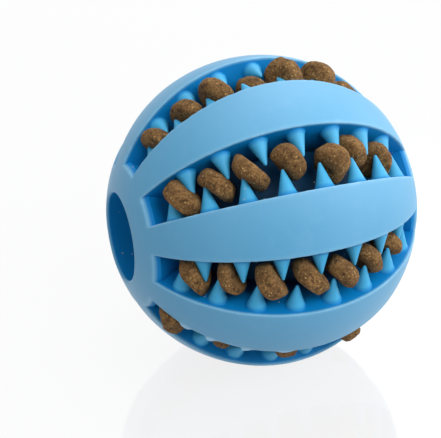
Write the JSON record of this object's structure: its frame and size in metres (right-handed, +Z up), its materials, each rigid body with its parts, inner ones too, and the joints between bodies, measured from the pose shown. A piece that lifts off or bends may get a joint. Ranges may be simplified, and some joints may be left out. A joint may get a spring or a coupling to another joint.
{
  "type": "treat dispensing ball",
  "caption": "Rubber ball with meridian slots, rows of pointed teeth that grip baked treats in the slots, and a straight bore from pole to pole.",
  "frame": {"origin": "centre of the ball, on the axis of the through bore and halfway along it", "axes": "+X along the through bore, +Z up through the middle of the top slot, -Y through a slot to the front"},
  "size_m": [0.0668, 0.0703, 0.0709],
  "materials": {
    "blue_rubber": "satin moulded",
    "baked_treat": "rough baked"
  },
  "bodies": {
    "ball": {"ball_body": "blue_rubber"},
    "treat_slot_1_place_1": {"treat_slot_1_place_1": "baked_treat"},
    "treat_slot_1_place_2": {"treat_slot_1_place_2": "baked_treat"},
    "treat_slot_1_place_3": {"treat_slot_1_place_3": "baked_treat"},
    "treat_slot_1_place_4": {"treat_slot_1_place_4": "baked_treat"},
    "treat_slot_1_place_5": {"treat_slot_1_place_5": "baked_treat"},
    "treat_slot_1_place_6": {"treat_slot_1_place_6": "baked_treat"},
    "treat_slot_1_place_7": {"treat_slot_1_place_7": "baked_treat"},
    "treat_slot_2_place_1": {"treat_slot_2_place_1": "baked_treat"},
    "treat_slot_2_place_2": {"treat_slot_2_place_2": "baked_treat"},
    "treat_slot_2_place_3": {"treat_slot_2_place_3": "baked_treat"},
    "treat_slot_2_place_4": {"treat_slot_2_place_4": "baked_treat"},
    "treat_slot_2_place_5": {"treat_slot_2_place_5": "baked_treat"},
    "treat_slot_2_place_6": {"treat_slot_2_place_6": "baked_treat"},
    "treat_slot_2_place_7": {"treat_slot_2_place_7": "baked_treat"},
    "treat_slot_3_place_1": {"treat_slot_3_place_1": "baked_treat"},
    "treat_slot_3_place_2": {"treat_slot_3_place_2": "baked_treat"},
    "treat_slot_3_place_3": {"treat_slot_3_place_3": "baked_treat"},
    "treat_slot_3_place_4": {"treat_slot_3_place_4": "baked_treat"},
    "treat_slot_3_place_5": {"treat_slot_3_place_5": "baked_treat"},
    "treat_slot_3_place_6": {"treat_slot_3_place_6": "baked_treat"},
    "treat_slot_3_place_7": {"treat_slot_3_place_7": "baked_treat"},
    "treat_slot_4_place_1": {"treat_slot_4_place_1": "baked_treat"},
    "treat_slot_4_place_2": {"treat_slot_4_place_2": "baked_treat"},
    "treat_slot_4_place_3": {"treat_slot_4_place_3": "baked_treat"},
    "treat_slot_4_place_4": {"treat_slot_4_place_4": "baked_treat"},
    "treat_slot_4_place_5": {"treat_slot_4_place_5": "baked_treat"},
    "treat_slot_4_place_6": {"treat_slot_4_place_6": "baked_treat"},
    "treat_slot_4_place_7": {"treat_slot_4_place_7": "baked_treat"},
    "treat_slot_5_place_1": {"treat_slot_5_place_1": "baked_treat"},
    "treat_slot_5_place_2": {"treat_slot_5_place_2": "baked_treat"},
    "treat_slot_5_place_3": {"treat_slot_5_place_3": "baked_treat"},
    "treat_slot_5_place_4": {"treat_slot_5_place_4": "baked_treat"},
    "treat_slot_5_place_5": {"treat_slot_5_place_5": "baked_treat"},
    "treat_slot_5_place_6": {"treat_slot_5_place_6": "baked_treat"},
    "treat_slot_5_place_7": {"treat_slot_5_place_7": "baked_treat"},
    "treat_slot_6_place_1": {"treat_slot_6_place_1": "baked_treat"},
    "treat_slot_6_place_2": {"treat_slot_6_place_2": "baked_treat"},
    "treat_slot_6_place_3": {"treat_slot_6_place_3": "baked_treat"},
    "treat_slot_6_place_4": {"treat_slot_6_place_4": "baked_treat"},
    "treat_slot_6_place_5": {"treat_slot_6_place_5": "baked_treat"},
    "treat_slot_6_place_6": {"treat_slot_6_place_6": "baked_treat"},
    "treat_slot_6_place_7": {"treat_slot_6_place_7": "baked_treat"},
    "treat_slot_7_place_1": {"treat_slot_7_place_1": "baked_treat"},
    "treat_slot_7_place_2": {"treat_slot_7_place_2": "baked_treat"},
    "treat_slot_7_place_3": {"treat_slot_7_place_3": "baked_treat"},
    "treat_slot_7_place_4": {"treat_slot_7_place_4": "baked_treat"},
    "treat_slot_7_place_5": {"treat_slot_7_place_5": "baked_treat"},
    "treat_slot_7_place_6": {"treat_slot_7_place_6": "baked_treat"},
    "treat_slot_7_place_7": {"treat_slot_7_place_7": "baked_treat"},
    "treat_slot_8_place_1": {"treat_slot_8_place_1": "baked_treat"},
    "treat_slot_8_place_2": {"treat_slot_8_place_2": "baked_treat"},
    "treat_slot_8_place_3": {"treat_slot_8_place_3": "baked_treat"},
    "treat_slot_8_place_4": {"treat_slot_8_place_4": "baked_treat"},
    "treat_slot_8_place_5": {"treat_slot_8_place_5": "baked_treat"},
    "treat_slot_8_place_6": {"treat_slot_8_place_6": "baked_treat"},
    "treat_slot_8_place_7": {"treat_slot_8_place_7": "baked_treat"}
  },
  "joints": [
    {"name": "treat_slot_1_place_1_pull", "type": "slide", "parent": "ball", "child": "treat_slot_1_place_1", "axis": [-0.7495, 0, 0.662], "range_m": [0, 0.01]},
    {"name": "treat_slot_1_place_2_pull", "type": "slide", "parent": "ball", "child": "treat_slot_1_place_2", "axis": [-0.5555, 0, 0.8315], "range_m": [0, 0.01]},
    {"name": "treat_slot_1_place_3_pull", "type": "slide", "parent": "ball", "child": "treat_slot_1_place_3", "axis": [-0.3247, 0, 0.9458], "range_m": [0, 0.01]},
    {"name": "treat_slot_1_place_4_pull", "type": "slide", "parent": "ball", "child": "treat_slot_1_place_4", "axis": [-0.0724, 0, 0.9974], "range_m": [0, 0.01]},
    {"name": "treat_slot_1_place_5_pull", "type": "slide", "parent": "ball", "child": "treat_slot_1_place_5", "axis": [0.1848, 0, 0.9828], "range_m": [0, 0.01]},
    {"name": "treat_slot_1_place_6_pull", "type": "slide", "parent": "ball", "child": "treat_slot_1_place_6", "axis": [0.4297, 0, 0.903], "range_m": [0, 0.01]},
    {"name": "treat_slot_1_place_7_pull", "type": "slide", "parent": "ball", "child": "treat_slot_1_place_7", "axis": [0.6461, 0, 0.7633], "range_m": [0, 0.01]},
    {"name": "treat_slot_2_place_1_pull", "type": "slide", "parent": "ball", "child": "treat_slot_2_place_1", "axis": [-0.7495, -0.4681, 0.4681], "range_m": [0, 0.01]},
    {"name": "treat_slot_2_place_2_pull", "type": "slide", "parent": "ball", "child": "treat_slot_2_place_2", "axis": [-0.5555, -0.588, 0.588], "range_m": [0, 0.01]},
    {"name": "treat_slot_2_place_3_pull", "type": "slide", "parent": "ball", "child": "treat_slot_2_place_3", "axis": [-0.3247, -0.6688, 0.6688], "range_m": [0, 0.01]},
    {"name": "treat_slot_2_place_4_pull", "type": "slide", "parent": "ball", "child": "treat_slot_2_place_4", "axis": [-0.0724, -0.7053, 0.7053], "range_m": [0, 0.01]},
    {"name": "treat_slot_2_place_5_pull", "type": "slide", "parent": "ball", "child": "treat_slot_2_place_5", "axis": [0.1848, -0.6949, 0.6949], "range_m": [0, 0.01]},
    {"name": "treat_slot_2_place_6_pull", "type": "slide", "parent": "ball", "child": "treat_slot_2_place_6", "axis": [0.4297, -0.6385, 0.6385], "range_m": [0, 0.01]},
    {"name": "treat_slot_2_place_7_pull", "type": "slide", "parent": "ball", "child": "treat_slot_2_place_7", "axis": [0.6461, -0.5397, 0.5397], "range_m": [0, 0.01]},
    {"name": "treat_slot_3_place_1_pull", "type": "slide", "parent": "ball", "child": "treat_slot_3_place_1", "axis": [-0.7495, -0.662, 0], "range_m": [0, 0.01]},
    {"name": "treat_slot_3_place_2_pull", "type": "slide", "parent": "ball", "child": "treat_slot_3_place_2", "axis": [-0.5555, -0.8315, 0], "range_m": [0, 0.01]},
    {"name": "treat_slot_3_place_3_pull", "type": "slide", "parent": "ball", "child": "treat_slot_3_place_3", "axis": [-0.3247, -0.9458, 0], "range_m": [0, 0.01]},
    {"name": "treat_slot_3_place_4_pull", "type": "slide", "parent": "ball", "child": "treat_slot_3_place_4", "axis": [-0.0724, -0.9974, 0], "range_m": [0, 0.01]},
    {"name": "treat_slot_3_place_5_pull", "type": "slide", "parent": "ball", "child": "treat_slot_3_place_5", "axis": [0.1848, -0.9828, 0], "range_m": [0, 0.01]},
    {"name": "treat_slot_3_place_6_pull", "type": "slide", "parent": "ball", "child": "treat_slot_3_place_6", "axis": [0.4297, -0.903, 0], "range_m": [0, 0.01]},
    {"name": "treat_slot_3_place_7_pull", "type": "slide", "parent": "ball", "child": "treat_slot_3_place_7", "axis": [0.6461, -0.7633, 0], "range_m": [0, 0.01]},
    {"name": "treat_slot_4_place_1_pull", "type": "slide", "parent": "ball", "child": "treat_slot_4_place_1", "axis": [-0.7495, -0.4681, -0.4681], "range_m": [0, 0.01]},
    {"name": "treat_slot_4_place_2_pull", "type": "slide", "parent": "ball", "child": "treat_slot_4_place_2", "axis": [-0.5555, -0.588, -0.588], "range_m": [0, 0.01]},
    {"name": "treat_slot_4_place_3_pull", "type": "slide", "parent": "ball", "child": "treat_slot_4_place_3", "axis": [-0.3247, -0.6688, -0.6688], "range_m": [0, 0.01]},
    {"name": "treat_slot_4_place_4_pull", "type": "slide", "parent": "ball", "child": "treat_slot_4_place_4", "axis": [-0.0724, -0.7053, -0.7053], "range_m": [0, 0.01]},
    {"name": "treat_slot_4_place_5_pull", "type": "slide", "parent": "ball", "child": "treat_slot_4_place_5", "axis": [0.1848, -0.6949, -0.6949], "range_m": [0, 0.01]},
    {"name": "treat_slot_4_place_6_pull", "type": "slide", "parent": "ball", "child": "treat_slot_4_place_6", "axis": [0.4297, -0.6385, -0.6385], "range_m": [0, 0.01]},
    {"name": "treat_slot_4_place_7_pull", "type": "slide", "parent": "ball", "child": "treat_slot_4_place_7", "axis": [0.6461, -0.5397, -0.5397], "range_m": [0, 0.01]},
    {"name": "treat_slot_5_place_1_pull", "type": "slide", "parent": "ball", "child": "treat_slot_5_place_1", "axis": [-0.7495, 0, -0.662], "range_m": [0, 0.01]},
    {"name": "treat_slot_5_place_2_pull", "type": "slide", "parent": "ball", "child": "treat_slot_5_place_2", "axis": [-0.5555, 0, -0.8315], "range_m": [0, 0.01]},
    {"name": "treat_slot_5_place_3_pull", "type": "slide", "parent": "ball", "child": "treat_slot_5_place_3", "axis": [-0.3247, 0, -0.9458], "range_m": [0, 0.01]},
    {"name": "treat_slot_5_place_4_pull", "type": "slide", "parent": "ball", "child": "treat_slot_5_place_4", "axis": [-0.0724, 0, -0.9974], "range_m": [0, 0.01]},
    {"name": "treat_slot_5_place_5_pull", "type": "slide", "parent": "ball", "child": "treat_slot_5_place_5", "axis": [0.1848, 0, -0.9828], "range_m": [0, 0.01]},
    {"name": "treat_slot_5_place_6_pull", "type": "slide", "parent": "ball", "child": "treat_slot_5_place_6", "axis": [0.4297, 0, -0.903], "range_m": [0, 0.01]},
    {"name": "treat_slot_5_place_7_pull", "type": "slide", "parent": "ball", "child": "treat_slot_5_place_7", "axis": [0.6461, 0, -0.7633], "range_m": [0, 0.01]},
    {"name": "treat_slot_6_place_1_pull", "type": "slide", "parent": "ball", "child": "treat_slot_6_place_1", "axis": [-0.7495, 0.4681, -0.4681], "range_m": [0, 0.01]},
    {"name": "treat_slot_6_place_2_pull", "type": "slide", "parent": "ball", "child": "treat_slot_6_place_2", "axis": [-0.5555, 0.588, -0.588], "range_m": [0, 0.01]},
    {"name": "treat_slot_6_place_3_pull", "type": "slide", "parent": "ball", "child": "treat_slot_6_place_3", "axis": [-0.3247, 0.6688, -0.6688], "range_m": [0, 0.01]},
    {"name": "treat_slot_6_place_4_pull", "type": "slide", "parent": "ball", "child": "treat_slot_6_place_4", "axis": [-0.0724, 0.7053, -0.7053], "range_m": [0, 0.01]},
    {"name": "treat_slot_6_place_5_pull", "type": "slide", "parent": "ball", "child": "treat_slot_6_place_5", "axis": [0.1848, 0.6949, -0.6949], "range_m": [0, 0.01]},
    {"name": "treat_slot_6_place_6_pull", "type": "slide", "parent": "ball", "child": "treat_slot_6_place_6", "axis": [0.4297, 0.6385, -0.6385], "range_m": [0, 0.01]},
    {"name": "treat_slot_6_place_7_pull", "type": "slide", "parent": "ball", "child": "treat_slot_6_place_7", "axis": [0.6461, 0.5397, -0.5397], "range_m": [0, 0.01]},
    {"name": "treat_slot_7_place_1_pull", "type": "slide", "parent": "ball", "child": "treat_slot_7_place_1", "axis": [-0.7495, 0.662, 0], "range_m": [0, 0.01]},
    {"name": "treat_slot_7_place_2_pull", "type": "slide", "parent": "ball", "child": "treat_slot_7_place_2", "axis": [-0.5555, 0.8315, 0], "range_m": [0, 0.01]},
    {"name": "treat_slot_7_place_3_pull", "type": "slide", "parent": "ball", "child": "treat_slot_7_place_3", "axis": [-0.3247, 0.9458, 0], "range_m": [0, 0.01]},
    {"name": "treat_slot_7_place_4_pull", "type": "slide", "parent": "ball", "child": "treat_slot_7_place_4", "axis": [-0.0724, 0.9974, 0], "range_m": [0, 0.01]},
    {"name": "treat_slot_7_place_5_pull", "type": "slide", "parent": "ball", "child": "treat_slot_7_place_5", "axis": [0.1848, 0.9828, 0], "range_m": [0, 0.01]},
    {"name": "treat_slot_7_place_6_pull", "type": "slide", "parent": "ball", "child": "treat_slot_7_place_6", "axis": [0.4297, 0.903, 0], "range_m": [0, 0.01]},
    {"name": "treat_slot_7_place_7_pull", "type": "slide", "parent": "ball", "child": "treat_slot_7_place_7", "axis": [0.6461, 0.7633, 0], "range_m": [0, 0.01]},
    {"name": "treat_slot_8_place_1_pull", "type": "slide", "parent": "ball", "child": "treat_slot_8_place_1", "axis": [-0.7495, 0.4681, 0.4681], "range_m": [0, 0.01]},
    {"name": "treat_slot_8_place_2_pull", "type": "slide", "parent": "ball", "child": "treat_slot_8_place_2", "axis": [-0.5555, 0.588, 0.588], "range_m": [0, 0.01]},
    {"name": "treat_slot_8_place_3_pull", "type": "slide", "parent": "ball", "child": "treat_slot_8_place_3", "axis": [-0.3247, 0.6688, 0.6688], "range_m": [0, 0.01]},
    {"name": "treat_slot_8_place_4_pull", "type": "slide", "parent": "ball", "child": "treat_slot_8_place_4", "axis": [-0.0724, 0.7053, 0.7053], "range_m": [0, 0.01]},
    {"name": "treat_slot_8_place_5_pull", "type": "slide", "parent": "ball", "child": "treat_slot_8_place_5", "axis": [0.1848, 0.6949, 0.6949], "range_m": [0, 0.01]},
    {"name": "treat_slot_8_place_6_pull", "type": "slide", "parent": "ball", "child": "treat_slot_8_place_6", "axis": [0.4297, 0.6385, 0.6385], "range_m": [0, 0.01]},
    {"name": "treat_slot_8_place_7_pull", "type": "slide", "parent": "ball", "child": "treat_slot_8_place_7", "axis": [0.6461, 0.5397, 0.5397], "range_m": [0, 0.01]}
  ]
}
